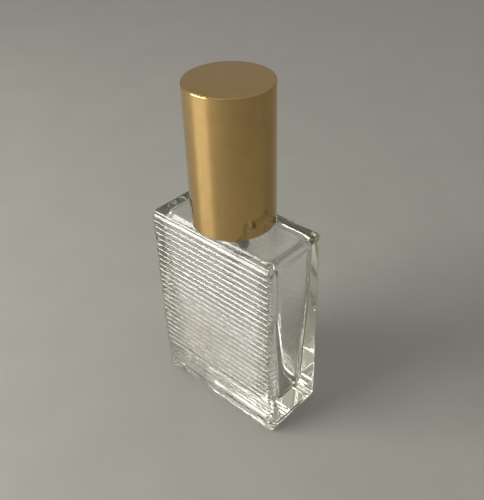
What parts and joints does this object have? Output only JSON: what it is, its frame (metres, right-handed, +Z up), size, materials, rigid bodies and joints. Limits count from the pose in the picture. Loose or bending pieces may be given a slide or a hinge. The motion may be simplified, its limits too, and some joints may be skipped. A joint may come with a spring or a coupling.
{
  "type": "perfume spray bottle",
  "caption": "Small flat rectangular glass perfume atomiser with fine level ribs on its front face, a plain back, a crimped fine-mist pump and a plain gold push-on cap.",
  "frame": {"origin": "centre of the base, on the surface that the bottle stands on", "axes": "+Z up along the neck, pump and cap; the spray leaves along -Y, through the ribbed wide face; X runs along the bottle's width"},
  "size_m": [0.0378, 0.02, 0.0886],
  "materials": {
    "clear_glass": "polished, clear",
    "gold_aluminium": "gold anodised, satin gloss",
    "plain_aluminium": "satin",
    "white_plastic": "moulded, matte",
    "natural_plastic": "translucent, uncoloured",
    "pale_gasket": "matte",
    "black_seal": "matte",
    "steel": "bright drawn"
  },
  "bodies": {
    "base": {"bottle": "clear_glass", "neck_gasket": "pale_gasket", "crimp_ferrule": "plain_aluminium", "collar": "gold_aluminium", "pump_housing": "natural_plastic", "turret": "white_plastic", "stem_seal": "black_seal", "dip_tube": "natural_plastic", "return_spring": "steel"},
    "stem": {"upper_stem": "white_plastic", "valve_stem": "white_plastic", "precompression_spring": "steel"},
    "piston": {"piston": "white_plastic"},
    "actuator": {"actuator_core": "white_plastic", "actuator_shell": "gold_aluminium", "nozzle_insert": "white_plastic"},
    "inlet_ball": {"inlet_ball": "steel"},
    "cap": {"cap_shell": "gold_aluminium", "cap_liner": "white_plastic"}
  },
  "joints": [
    {"name": "actuator_press", "type": "slide", "parent": "base", "child": "stem", "axis": [0, 0, -1], "range_m": [0, 0.004], "stiffness_N_per_m": 900, "springref_m": -0.004, "deforming": ["return_spring"]},
    {"name": "piston_lift", "type": "slide", "parent": "stem", "child": "piston", "axis": [0, 0, 1], "range_m": [0, 0.0006], "stiffness_N_per_m": 1500, "springref_m": -0.002, "deforming": ["precompression_spring"]},
    {"name": "actuator_turn", "type": "hinge", "parent": "stem", "child": "actuator", "pos_m": [0, 0, 0.0763], "axis": [0, 0, 1], "continuous": true},
    {"name": "inlet_ball_lift", "type": "slide", "parent": "base", "child": "inlet_ball", "axis": [0, 0, 1], "range_m": [0, 0.0006]},
    {"name": "cap_lift", "type": "slide", "parent": "base", "child": "cap", "axis": [0, 0, 1], "range_m": [0, 0.048]}
  ]
}
